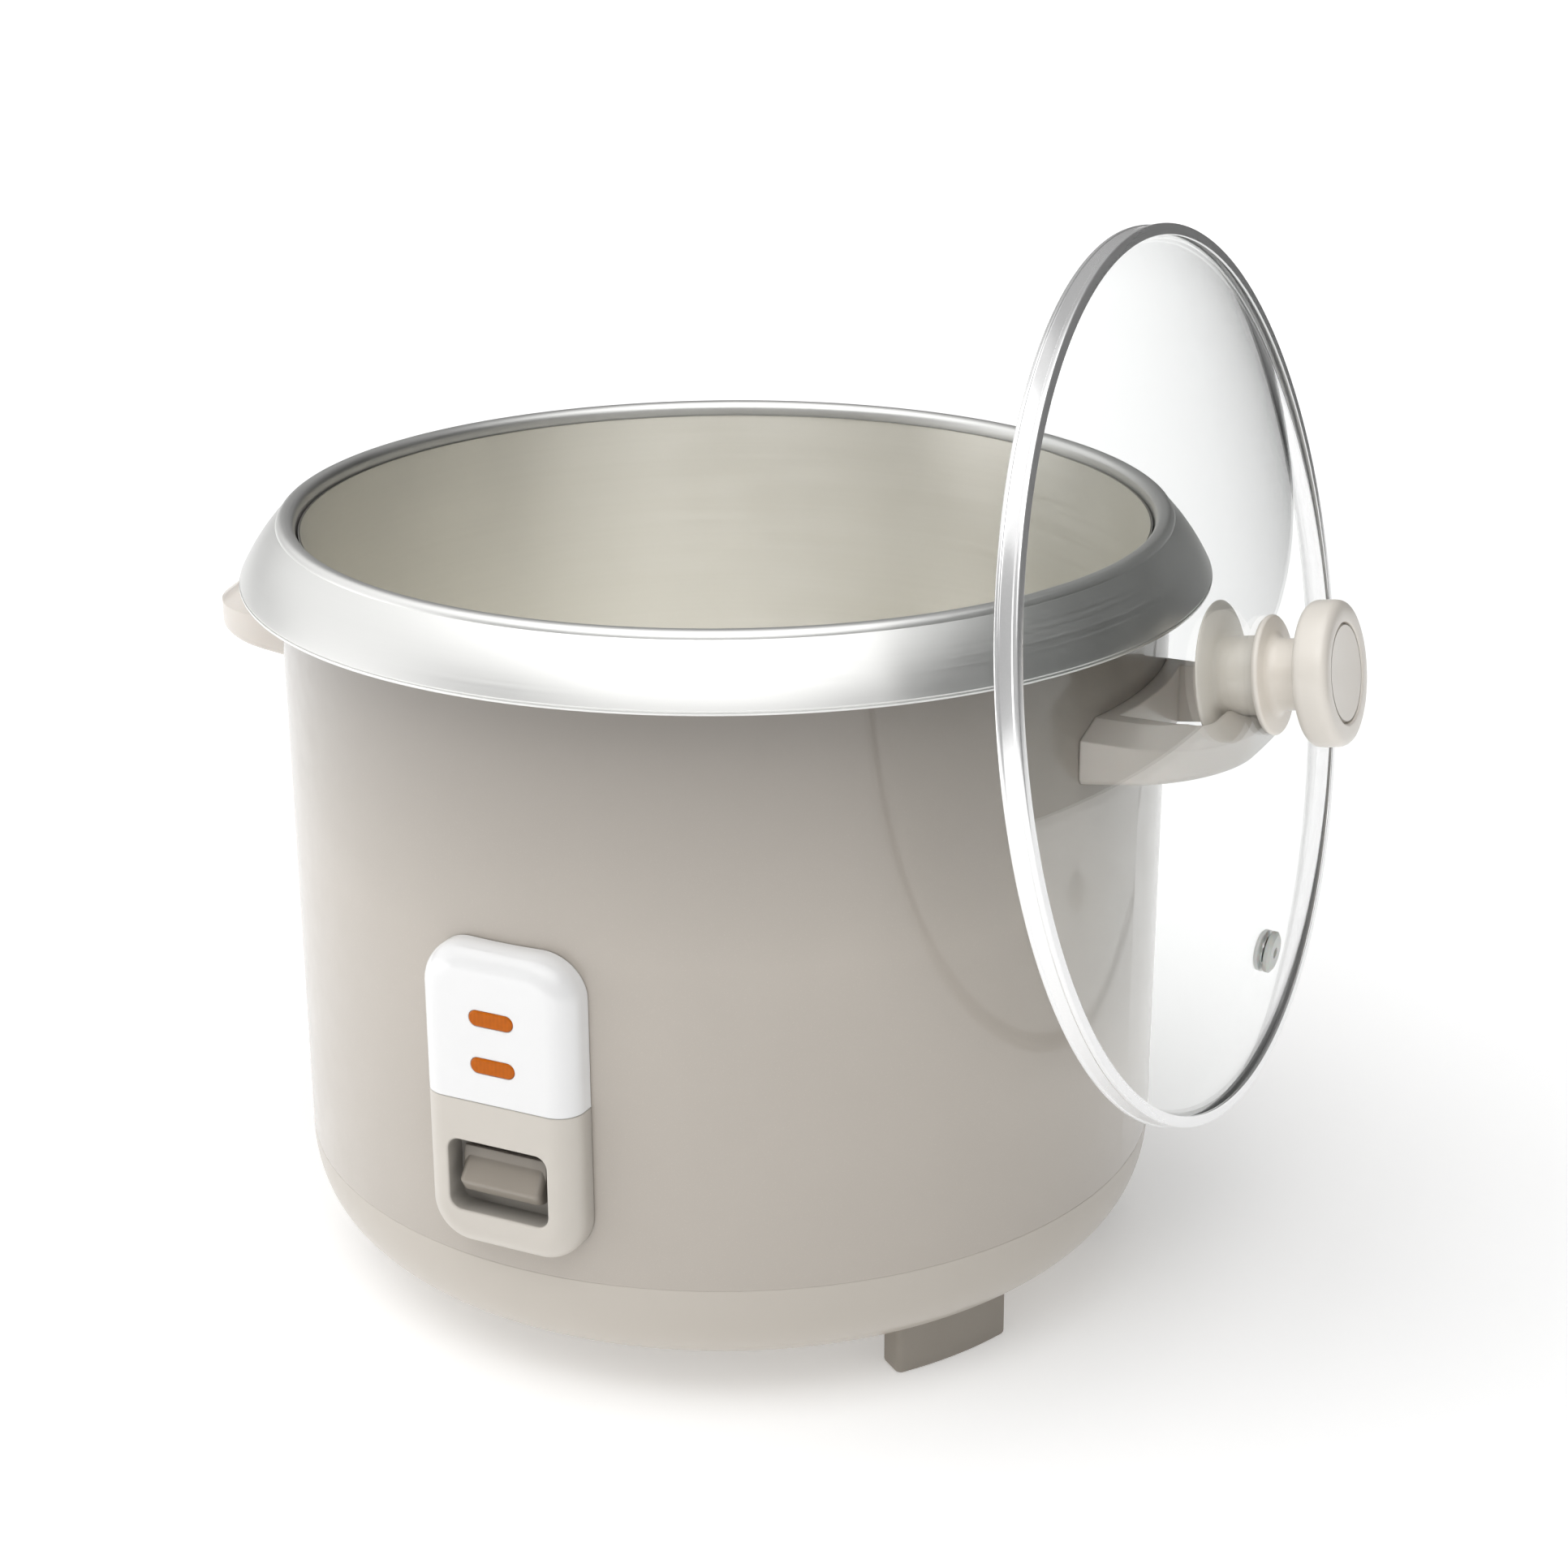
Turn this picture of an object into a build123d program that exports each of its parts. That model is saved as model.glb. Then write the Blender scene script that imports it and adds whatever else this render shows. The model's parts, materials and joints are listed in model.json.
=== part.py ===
from build123d import *
from math import asin, cos, radians, sin, sqrt
import os

# Drum-type rice cooker whose glass lid is parked on the right handle.
# Millimetres, +Z up. The origin is on the cooker's axis, in the plane its feet stand on.
# The switch panel faces -Y, the two handles lie along X, the power inlet faces +Y.

# ---- driving dimensions ------------------------------------------------------------
RING_R = 142.5             # outer edge of the metal top ring
RING_Z = 215.0             # height of that edge above the table
SHELL_TOP_R = 131.1        # painted drum, outside, under the ring
SHELL_FOOT_R = 130.7       # painted drum, outside, at the parting line
SHELL_WALL = 1.0
PARTING_Z = 43.2           # joint between the drum and the moulded base
OPENING_R = 125.6          # inner edge of the ring
LEDGE_Z = RING_Z + 12.5    # depth of the ring's throat, where the drum and liner end
CREST_Z = RING_Z + 19.0    # top of the ring's bead
TRAY_Z = 8.4               # underside of the moulded base
TRAY_WALL = 2.5
FIT = 0.05                 # running clearance on a radius

POT_R = OPENING_R - 0.35   # pot wall, outside, at its plain rim
POT_RIM_Z = RING_Z + 14.8
POT_FOOT_R = 120.5
POT_WALL = 1.2
POT_CORNER_R = 28.0
PLATE_Z = 62.0             # top of the heating plate
PLATE_R = 85.0
PLATE_THICKNESS = 11.0
POT_Z = PLATE_Z + 0.2
LINER_R = 124.1
LINER_TOP_R = 127.4
LINER_Z = 46.0
LINER_FLARE_Z = 150.0
LINER_WALL = 0.8

LID_R = 125.1              # outside of the lid's metal band
LID_TILT = 9.5             # parked lid leans this far back over the pot, degrees
LID_CENTRE = (141.4, 0, RING_Z - 16.3)
BAND_HEIGHT = 6.5
GLASS_R = 123.2
GLASS_THICKNESS = 3.5
GLASS_APEX = 28.0          # outside of the dome above the plane of the band's edge
KNOB_R = 20.2
CAP_BACK = GLASS_APEX + 11.8     # knob's cap, above the plane of the band's edge
CAP_FRONT = GLASS_APEX + 21.6
STEM_FLANGE_R = 16.8
STEM_R = 10.0
BOSS_R = 11.0
BOSS_FLANGE_R = 21.3
BOSS_FACE = 11.6           # face of the hanging boss above the plane of the band's edge

HANDLE_HALF_WIDTH = 36.0
HANDLE_REACH = 166.0        # right handle, whose bar holds the parked lid
LEFT_REACH = 172.0
HANDLE_BAR = 8.0            # finger bar behind the opening
HANDLE_FOOT_Z = RING_Z - 41.3
HANDLE_RISE = 7.3          # climb of the underside over the handle's whole length
HANDLE_EDGE_Z = RING_Z - 26.0
HANDLE_TOP_Z = RING_Z - 21.0
HANDLE_CORNER_R = 28.0
HANDLE_SLOPE = 6.5         # how far the sloping top comes in from the outer edge
HANDLE_SCREW_Y = 30.5
HANDLE_SCREW_Z = 183.0

PANEL_FRONT = 140.0        # distance of the panel's flat face from the cooker's axis
PANEL_WIDTH = 48.0
PANEL_Z0 = 51.4
PANEL_Z1 = 142.4
PANEL_SPLIT_Z = 97.7
PANEL_WALL = 2.6
PANEL_CORNER_R = 13.0
PANEL_EDGE_R = 7.5         # rounding all round the front face
WINDOW_WIDTH = 31.4
THUMB_WIDTH = 26.2
WINDOW_Z0 = 63.4
WINDOW_Z1 = 85.0
LAMP_HEIGHTS = {"warm": 123.0, "cook": 109.0}
LAMP_WIDTH = 14.0
LAMP_HEIGHT = 4.8

PIVOT_Y = -62.0            # lever's pivot pin
PIVOT_Z = 35.5
STRIP_Z = 38.5             # middle of the steel lever strip in front of the pivot
STRIP_END_Z = 21.5         # middle of the strip where it lifts the magnet rod
STRIP_THICKNESS = 1.6
STRIP_WIDTH = 12.0
MICRO_SWITCH_Y = -99.0
MICRO_SWITCH_Z = 26.4      # underside of the cooking switch that the strip presses
LEG_Y = -125.5             # upright end of the strip, behind the drum's wall

FOOT_ANGLES = (-28, 28, 152, 208)
INLET_Z = 32.0
SCREW_R = 1.9

# ---- derived geometry --------------------------------------------------------------
tilt = radians(LID_TILT)
lid_up = Vector(-sin(tilt), 0, cos(tilt))
lid_out = Vector(cos(tilt), 0, sin(tilt))
lid_origin = Vector(*LID_CENTRE)
lid_section = Plane(origin=lid_origin, x_dir=lid_up, z_dir=(0, 1, 0))
lid_axis = Axis(lid_origin, lid_out)
lid_face = Plane(origin=lid_origin, x_dir=(0, 1, 0), z_dir=lid_out)

glass_sag = GLASS_APEX - BAND_HEIGHT
dome_r = (118.0**2 + glass_sag**2) / (2 * glass_sag)


def dome(radius, depth=0.0):
    """Height of the glass dome above the band's edge, depth below its outer surface."""
    return GLASS_APEX - dome_r + sqrt((dome_r - depth) ** 2 - radius**2)


def outline(points):
    """A straight-edged face in the current sketch."""
    Polygon(*points, align=None)


def tray_curve(inset):
    """Rounded side of the moulded base, from the parting line in to the flat bottom."""
    side = SHELL_FOOT_R - inset
    floor = TRAY_Z + inset
    return Bezier((side, PARTING_Z), (side, floor + 4.5), (105 - inset, floor), (70, floor))


def ring_sector(inner, outer, middle, spread):
    """A piece of a flat ring in the current sketch, angles in degrees."""
    with BuildLine() as border:
        far = CenterArc((0, 0), outer, middle - spread / 2, spread)
        near = CenterArc((0, 0), inner, middle - spread / 2, spread)
        Line(far @ 0, near @ 0)
        Line(far @ 1, near @ 1)
    make_face(border.edges())


def write(piece, name):
    """Label a finished piece and write it to its own STEP file."""
    piece.part.label = name
    export_step(piece.part, f"parts/{name}.step")


os.makedirs("parts", exist_ok=True)

# ---- drum, top ring and base -------------------------------------------------------
with BuildPart() as outer_shell:
    with BuildSketch(Plane.XZ):
        outline([
            (SHELL_FOOT_R, PARTING_Z),
            (SHELL_TOP_R, LEDGE_Z - 1.6),
            (SHELL_TOP_R - SHELL_WALL, LEDGE_Z - 1.6),
            (SHELL_FOOT_R - SHELL_WALL, PARTING_Z),
        ])
    revolve(axis=Axis.Z)
    # slot for the lever's neck and window for the lamps, both behind the panel
    with BuildSketch(Plane.XZ.offset(100)):
        with Locations((0, 73.2)):
            RectangleRounded(17, 15, 2)
        with Locations((0, 116)):
            RectangleRounded(22, 26, 2)
    extrude(amount=50, mode=Mode.SUBTRACT)
    # clearance holes for the handles' screws
    with BuildSketch(Plane.YZ.offset(-150)):
        with Locations((-HANDLE_SCREW_Y, HANDLE_SCREW_Z), (HANDLE_SCREW_Y, HANDLE_SCREW_Z)):
            Circle(SCREW_R + 0.2)
    extrude(amount=300, mode=Mode.SUBTRACT)
write(outer_shell, "outer_shell")

with BuildPart() as top_ring:
    with BuildSketch(Plane.XZ):
        with BuildLine():
            skirt = ThreePointArc((RING_R, RING_Z + 1.0), (137.6, RING_Z + 9.4), (131.4, RING_Z + 17.0))
            bead = ThreePointArc(skirt @ 1, (129.0, CREST_Z), (126.3, RING_Z + 17.2))
            Polyline(
                bead @ 1,
                (OPENING_R, RING_Z + 15.3),
                (OPENING_R, LEDGE_Z - 1.6),
                (133.6, LEDGE_Z - 1.6),
                (RING_R - 1.6, RING_Z),
                (RING_R - 0.2, RING_Z),
                skirt @ 0,
            )
        make_face()
    revolve(axis=Axis.Z)
write(top_ring, "top_ring")

with BuildPart() as base_tray:
    with BuildSketch(Plane.XZ):
        with BuildLine():
            outside = tray_curve(0)
            inside = tray_curve(TRAY_WALL)
            Polyline(outside @ 1, (40, TRAY_Z), (40, TRAY_Z + TRAY_WALL), inside @ 1)
            # spigot that centres the drum
            Polyline(
                inside @ 0,
                (128.3, PARTING_Z + 6),
                (SHELL_FOOT_R - SHELL_WALL - 0.1, PARTING_Z + 6),
                (SHELL_FOOT_R - SHELL_WALL - 0.1, PARTING_Z),
                outside @ 0,
            )
        make_face()
    revolve(axis=Axis.Z)
    # post for the cooking switch
    with BuildSketch(Plane.XY.offset(12.8)):
        with Locations((0, MICRO_SWITCH_Y)):
            Rectangle(22, 10)
    extrude(amount=MICRO_SWITCH_Z - 12.8)
    # seat of the power inlet
    with BuildSketch(Plane.XZ.offset(-95)):
        with Locations((0, INLET_Z)):
            Rectangle(32.2, 20.2)
    extrude(amount=-50, mode=Mode.SUBTRACT)
    with BuildSketch(Plane.XY):
        with PolarLocations(43.5, 4, 45):
            Circle(SCREW_R - 0.3)
    extrude(amount=20, mode=Mode.SUBTRACT)
write(base_tray, "base_tray")

with BuildPart() as bottom_cover:
    with BuildSketch(Plane.XY.offset(TRAY_Z - 1.2)):
        Circle(47)
        with PolarLocations(43.5, 4, 45):
            Circle(SCREW_R - 0.3, mode=Mode.SUBTRACT)
        with PolarLocations(20, 8):
            SlotOverall(18, 4, mode=Mode.SUBTRACT)
    extrude(amount=1.2)
write(bottom_cover, "bottom_cover")

with BuildPart() as cover_screws:
    with BuildSketch(Plane.XY.offset(TRAY_Z - 3.0)):
        with PolarLocations(43.5, 4, 45):
            Circle(3.2)
    extrude(amount=1.8)
    with BuildSketch(Plane.XY.offset(TRAY_Z - 1.2)):
        with PolarLocations(43.5, 4, 45):
            Circle(SCREW_R - 0.35)
    extrude(amount=8)
write(cover_screws, "cover_screws")

with BuildPart() as feet:
    for angle in FOOT_ANGLES:
        with BuildSketch(Plane.XY):
            ring_sector(104.5, 114.5, angle, 20.5)
        extrude(amount=24)
    fillet(feet.edges().filter_by(Axis.Z), 2.0)
    with BuildSketch(Plane.XZ):
        with BuildLine():
            side = tray_curve(0)
            Polyline(side @ 1, (0, TRAY_Z), (0, PARTING_Z), side @ 0)
        make_face()
    revolve(axis=Axis.Z, mode=Mode.SUBTRACT)
    fillet(feet.edges().group_by(Axis.Z)[0], 1.2)
write(feet, "feet")

# ---- handles -----------------------------------------------------------------------
def handle_outline(full_reach, inset=0.0):
    """Plan of a handle on the +X side, rounded at its two outer corners."""
    half = HANDLE_HALF_WIDTH - inset
    reach = full_reach - inset
    corner = HANDLE_CORNER_R - inset
    with BuildLine() as border:
        arm = Polyline((reach - 1.5, -half), (110, -half), (110, half), (reach - 1.5, half))
        ThreePointArc(arm @ 1, (reach, 0), arm @ 0)
        fillet(border.vertices().group_by(Axis.X)[-1], corner)
    make_face(border.edges())


def make_handle(reach):
    """A loop handle with a sloping top, an opening for the fingers and two screw holes."""
    with BuildPart() as handle:
        with BuildSketch(Plane.XY.offset(HANDLE_FOOT_Z)):
            handle_outline(reach)
        extrude(amount=HANDLE_EDGE_Z - HANDLE_FOOT_Z)
        # underside that climbs towards the finger bar
        with BuildSketch(Plane.XZ):
            outline([
                (110, HANDLE_FOOT_Z),
                (reach, HANDLE_FOOT_Z + HANDLE_RISE),
                (reach, HANDLE_FOOT_Z - 1),
                (110, HANDLE_FOOT_Z - 1),
            ])
        extrude(amount=2 * HANDLE_HALF_WIDTH, both=True, mode=Mode.SUBTRACT)
        fillet(handle.faces().sort_by(Axis.Z)[0].edges(), 2.5)
        with BuildSketch(Plane.XY.offset(HANDLE_EDGE_Z)):
            handle_outline(reach)
        with BuildSketch(Plane.XY.offset(HANDLE_TOP_Z)):
            handle_outline(reach, HANDLE_SLOPE)
        loft()
        with BuildSketch(Plane.XY.offset(HANDLE_FOOT_Z - 1)):
            with Locations((reach - HANDLE_BAR - 18, 0)):
                RectangleRounded(36, 50, 10)
            Circle(135.5, mode=Mode.SUBTRACT)
        extrude(amount=30, mode=Mode.SUBTRACT)
        with BuildSketch(Plane.XY.offset(HANDLE_FOOT_Z - 1)):
            Circle(SHELL_TOP_R)
        extrude(amount=30, mode=Mode.SUBTRACT)
        with BuildSketch(Plane.YZ.offset(110)):
            with Locations((-HANDLE_SCREW_Y, HANDLE_SCREW_Z), (HANDLE_SCREW_Y, HANDLE_SCREW_Z)):
                Circle(SCREW_R)
        extrude(amount=32, mode=Mode.SUBTRACT)
    return handle


with BuildPart() as handle_right:
    add(make_handle(HANDLE_REACH).part)
    # saddle in the bar for the neck of the lid's hanging boss
    with BuildSketch(lid_face.offset(5)):
        Circle(BOSS_R + 0.35)
    extrude(amount=40, mode=Mode.SUBTRACT)
write(handle_right, "handle_right")

with BuildPart() as handle_left:
    add(make_handle(LEFT_REACH).part.rotate(Axis.Z, 180))
write(handle_left, "handle_left")

with BuildPart() as handle_screws:
    for side in (0, 180):
        back = Plane.YZ.rotated((0, 0, side))
        with BuildSketch(back.offset(123.2)):
            with Locations((-HANDLE_SCREW_Y, HANDLE_SCREW_Z), (HANDLE_SCREW_Y, HANDLE_SCREW_Z)):
                Circle(3.6)
        extrude(amount=2.1)
        with BuildSketch(back.offset(125.3)):
            with Locations((-HANDLE_SCREW_Y, HANDLE_SCREW_Z), (HANDLE_SCREW_Y, HANDLE_SCREW_Z)):
                Circle(SCREW_R - FIT)
        extrude(amount=15)
write(handle_screws, "handle_screws")

# ---- pot, liner and heating plate --------------------------------------------------
with BuildPart() as inner_pot:
    corner_z = POT_Z + POT_CORNER_R
    inner_corner = POT_CORNER_R - POT_WALL
    centre_r = POT_FOOT_R - POT_CORNER_R
    with BuildSketch(Plane.XZ):
        with BuildLine():
            Line((0, POT_Z), (centre_r, POT_Z))
            RadiusArc((centre_r, POT_Z), (POT_FOOT_R, corner_z), -POT_CORNER_R)
            Polyline(
                (POT_FOOT_R, corner_z),
                (POT_R, POT_RIM_Z - 0.4),
                (POT_R - 0.4, POT_RIM_Z),
                (POT_R - POT_WALL + 0.4, POT_RIM_Z),
                (POT_R - POT_WALL, POT_RIM_Z - 0.4),
                (POT_FOOT_R - POT_WALL, corner_z),
            )
            RadiusArc((POT_FOOT_R - POT_WALL, corner_z), (centre_r, POT_Z + POT_WALL), inner_corner)
            Polyline((centre_r, POT_Z + POT_WALL), (0, POT_Z + POT_WALL), (0, POT_Z))
        make_face()
    revolve(axis=Axis.Z)
write(inner_pot, "inner_pot")

with BuildPart() as inner_liner:
    with BuildSketch(Plane.XZ):
        outline([
            (32, LINER_Z),
            (LINER_R - 8, LINER_Z),
            (LINER_R, LINER_Z + 8),
            (LINER_R, LINER_FLARE_Z),
            (LINER_TOP_R, LEDGE_Z - 2.4),
            (129.6, LEDGE_Z - 2.4),
            (129.6, LEDGE_Z - 1.6),
            (LINER_TOP_R - LINER_WALL, LEDGE_Z - 1.6),
            (LINER_R - LINER_WALL, LINER_FLARE_Z + 0.2),
            (LINER_R - LINER_WALL, LINER_Z + 8.3),
            (LINER_R - 8.3, LINER_Z + LINER_WALL),
            (32, LINER_Z + LINER_WALL),
        ])
    revolve(axis=Axis.Z)
    with BuildSketch(Plane.XY.offset(LINER_Z - 1)):
        with PolarLocations(72, 3, 30):
            Circle(SCREW_R + 0.2)
        for angle in (75, 105):
            with PolarLocations(60, 1, angle):
                Circle(3.6)
    extrude(amount=3, mode=Mode.SUBTRACT)
write(inner_liner, "inner_liner")

plate_foot = PLATE_Z - PLATE_THICKNESS
with BuildPart() as heating_plate:
    with BuildSketch(Plane.XY.offset(plate_foot)):
        Circle(PLATE_R)
        Circle(18.2, mode=Mode.SUBTRACT)
    extrude(amount=PLATE_THICKNESS)
    rims = heating_plate.edges().filter_by(GeomType.CIRCLE).sort_by(SortBy.RADIUS)[-2:]
    chamfer(rims, 2.5)
    # groove that holds the tubular element
    with BuildSketch(Plane.XZ):
        with Locations((60, plate_foot + 0.2)):
            Circle(3.5)
    revolve(axis=Axis.Z, mode=Mode.SUBTRACT)
    with BuildSketch(Plane.XY.offset(plate_foot)):
        with PolarLocations(72, 3, 30):
            Circle(SCREW_R)
    extrude(amount=6, mode=Mode.SUBTRACT)
write(heating_plate, "heating_plate")

with BuildPart() as heating_element:
    with BuildSketch(Plane.XZ.rotated((0, 0, 105))):
        with Locations((60, plate_foot + 0.2)):
            Circle(3.4)
    revolve(axis=Axis.Z, revolution_arc=330)
    for angle in (75, 105):
        with BuildSketch(Plane.XY.offset(38)):
            with PolarLocations(60, 1, angle):
                Circle(1.8)
        extrude(amount=plate_foot - 38)
write(heating_element, "heating_element")

with BuildPart() as plate_standoffs:
    with BuildSketch(Plane.XY.offset(LINER_Z + LINER_WALL)):
        with PolarLocations(72, 3, 30):
            Circle(4.2)
            Circle(SCREW_R + 0.2, mode=Mode.SUBTRACT)
    extrude(amount=plate_foot - LINER_Z - LINER_WALL)
write(plate_standoffs, "plate_standoffs")

with BuildPart() as plate_screws:
    with BuildSketch(Plane.XY.offset(LINER_Z - 1.8)):
        with PolarLocations(72, 3, 30):
            Circle(3.6)
    extrude(amount=1.8)
    with BuildSketch(Plane.XY.offset(LINER_Z)):
        with PolarLocations(72, 3, 30):
            Circle(SCREW_R - FIT)
    extrude(amount=10)
write(plate_screws, "plate_screws")

# ---- magnetic thermostat in the middle of the plate --------------------------------
CAP_R = 17.5
FERRITE_Z = 56.5
BRACKET_Z = 28.0
MAGNET_Z = 48.6

with BuildPart() as sensor_cap:
    with BuildSketch(Plane.XZ):
        outline([(0, 60.5), (16.5, 60.5), (16.5, 40), (CAP_R, 40), (CAP_R, PLATE_Z - 0.8),
                 (CAP_R - 0.8, PLATE_Z), (0, PLATE_Z)])
    revolve(axis=Axis.Z)
write(sensor_cap, "sensor_cap")

with BuildPart() as sensor_ferrite:
    with BuildSketch(Plane.XY.offset(FERRITE_Z)):
        Circle(16.2)
    extrude(amount=60.5 - FERRITE_Z)
write(sensor_ferrite, "sensor_ferrite")

with BuildPart() as sensor_bracket:
    with BuildSketch(Plane.XZ):
        outline([(3.2, BRACKET_Z), (24, BRACKET_Z), (24, plate_foot - 1.2), (30, plate_foot - 1.2),
                 (30, plate_foot), (22.8, plate_foot), (22.8, BRACKET_Z + 1.2), (3.2, BRACKET_Z + 1.2)])
    revolve(axis=Axis.Z)
write(sensor_bracket, "sensor_bracket")

with BuildPart() as sensor_spring:
    spring_z = BRACKET_Z + 2.0
    with BuildLine() as coil:
        Helix(pitch=5.0, height=FERRITE_Z - 0.8 - spring_z, radius=14.6, center=(0, 0, spring_z))
    with BuildSketch(Plane(origin=coil.line @ 0, z_dir=coil.line % 0)):
        Circle(0.7)
    sweep(path=coil.line, is_frenet=True)
write(sensor_spring, "sensor_spring")

with BuildPart() as magnet:
    with BuildSketch(Plane.XY.offset(MAGNET_Z)):
        Circle(11.5)
    extrude(amount=3.4)
    chamfer(magnet.edges(), 0.4)
write(magnet, "magnet")

with BuildPart() as magnet_rod:
    with BuildSketch(Plane.XY.offset(STRIP_END_Z - 3.3)):
        Circle(5)
    extrude(amount=1.6)
    with BuildSketch(Plane.XY.offset(STRIP_END_Z - 1.7)):
        Circle(2.5)
    extrude(amount=MAGNET_Z - STRIP_END_Z + 1.7)
    with BuildSketch(Plane.XY.offset(STRIP_END_Z + 1.5)):
        Circle(5)
    extrude(amount=1.0)
write(magnet_rod, "magnet_rod")

# ---- lever, its pivot and the cooking switch ---------------------------------------
with BuildPart() as lever_strip:
    with BuildSketch(Plane.YZ.offset(-STRIP_WIDTH / 2)):
        with BuildLine():
            Polyline(
                (LEG_Y, 78), (LEG_Y, STRIP_Z), (-40, STRIP_Z), (-29, STRIP_END_Z), (9, STRIP_END_Z),
            )
        trace(line_width=STRIP_THICKNESS)
    extrude(amount=STRIP_WIDTH)
    with BuildSketch(Plane.YZ.offset(-4)):
        with Locations((PIVOT_Y, PIVOT_Z)):
            Circle(3.4)
    extrude(amount=8)
    with BuildSketch(Plane.YZ.offset(-20)):
        with Locations((PIVOT_Y, PIVOT_Z)):
            Circle(1.5 + FIT)
    extrude(amount=40, mode=Mode.SUBTRACT)
    # eye around the magnet rod
    with BuildSketch(Plane.XY.offset(15)):
        Circle(3.4)
    extrude(amount=15, mode=Mode.SUBTRACT)
write(lever_strip, "lever_strip")

with BuildPart() as pivot_bracket:
    with BuildSketch(Plane.XY.offset(TRAY_Z + TRAY_WALL)):
        with Locations((0, PIVOT_Y)):
            Rectangle(21, 14)
    extrude(amount=1.5)
    for ear_x in (-10.5, 9.0):
        with BuildSketch(Plane.YZ.offset(ear_x)):
            with Locations((PIVOT_Y, 25)):
                RectangleRounded(10, 28.2, 2)
        extrude(amount=1.5)
    with BuildSketch(Plane.YZ.offset(-15)):
        with Locations((PIVOT_Y, PIVOT_Z)):
            Circle(1.5)
    extrude(amount=30, mode=Mode.SUBTRACT)
write(pivot_bracket, "pivot_bracket")

with BuildPart() as pivot_pin:
    with BuildSketch(Plane.YZ.offset(-11.5)):
        with Locations((PIVOT_Y, PIVOT_Z)):
            Circle(1.5)
    extrude(amount=23)
write(pivot_pin, "pivot_pin")

with BuildPart() as switch_lever:
    # thumb piece: a long slope down to a low rounded nose, its back raised to hide the slot
    with BuildSketch(Plane.YZ.offset(-THUMB_WIDTH / 2)):
        outline([
            (-137.8, 69.0), (-139.8, 72.2), (-135.4, 78.4), (-135.0, 81.2), (-134.0, 81.2), (-134.0, 69.4),
        ])
    extrude(amount=THUMB_WIDTH)
    ends = switch_lever.edges().filter_by(Axis.X, reverse=True).group_by(Axis.Y)
    fillet(ends[0] + ends[1], 2.2)
    fillet(switch_lever.edges().filter_by(Axis.X).group_by(Axis.Y)[0], 1.2)
    # neck through the drum's slot, with a slot for the strip
    with BuildSketch(Plane.YZ.offset(-7)):
        outline([(-134.0, 71.2), (-134.0, 78.0), (-124.4, 78.8), (-124.4, 71.2)])
    extrude(amount=14)
    with BuildSketch(Plane.YZ.offset(-7)):
        with Locations((LEG_Y, 74.6)):
            Rectangle(STRIP_THICKNESS, 6.8)
    extrude(amount=14, mode=Mode.SUBTRACT)
write(switch_lever, "switch_lever")

with BuildPart() as micro_switch:
    with BuildSketch(Plane.XY.offset(MICRO_SWITCH_Z)):
        with Locations((0, MICRO_SWITCH_Y)):
            Rectangle(20, 6.4)
    extrude(amount=8.5)
    with BuildSketch(Plane.XY.offset(MICRO_SWITCH_Z + 4)):
        with Locations((0, MICRO_SWITCH_Y)):
            Circle(1.2 + FIT)
    extrude(amount=10, mode=Mode.SUBTRACT)
write(micro_switch, "micro_switch")

with BuildPart() as switch_plunger:
    with BuildSketch(Plane.XY.offset(STRIP_Z - 5.9)):
        with Locations((0, MICRO_SWITCH_Y)):
            Circle(1.2)
    extrude(amount=4.7)
write(switch_plunger, "switch_plunger")

# ---- switch panel, lamps and thumb lever recess ------------------------------------
def panel_body(z_low, z_high):
    """Hollow panel moulding between two heights, cut to the drum behind."""
    middle = (PANEL_Z0 + PANEL_Z1) / 2
    height = PANEL_Z1 - PANEL_Z0
    with BuildPart() as hollow:
        with BuildSketch(Plane.XZ.offset(115)):
            with Locations((0, middle)):
                RectangleRounded(
                    PANEL_WIDTH - 2 * PANEL_WALL, height - 2 * PANEL_WALL, PANEL_CORNER_R - PANEL_WALL
                )
        extrude(amount=PANEL_FRONT - 115 - PANEL_WALL)
        fillet(hollow.faces().sort_by(Axis.Y)[0].edges(), PANEL_EDGE_R - PANEL_WALL)
    with BuildPart() as body:
        with BuildSketch(Plane.XZ.offset(115)):
            with Locations((0, middle)):
                RectangleRounded(PANEL_WIDTH, height, PANEL_CORNER_R)
        extrude(amount=PANEL_FRONT - 115)
        fillet(body.faces().sort_by(Axis.Y)[0].edges(), PANEL_EDGE_R)
        add(hollow.part, mode=Mode.SUBTRACT)
        with BuildSketch(Plane.XY):
            Circle(SHELL_TOP_R)
        extrude(amount=RING_Z, mode=Mode.SUBTRACT)
        with BuildSketch(Plane.XZ.offset(115)):
            with Locations((0, (z_low + z_high) / 2)):
                Rectangle(PANEL_WIDTH + 2, z_high - z_low)
        extrude(amount=PANEL_FRONT - 115 + 1, mode=Mode.INTERSECT)
    return body


upper_blank = panel_body(PANEL_SPLIT_Z, PANEL_Z1 + 1)
lower_blank = panel_body(PANEL_Z0 - 1, PANEL_SPLIT_Z)

with BuildPart() as panel_upper:
    add(upper_blank.part)
    with BuildSketch(Plane.XZ.offset(130)):
        for height in LAMP_HEIGHTS.values():
            with Locations((0, height)):
                SlotOverall(LAMP_WIDTH, LAMP_HEIGHT)
    extrude(amount=15, mode=Mode.SUBTRACT)
write(panel_upper, "panel_upper")

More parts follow.
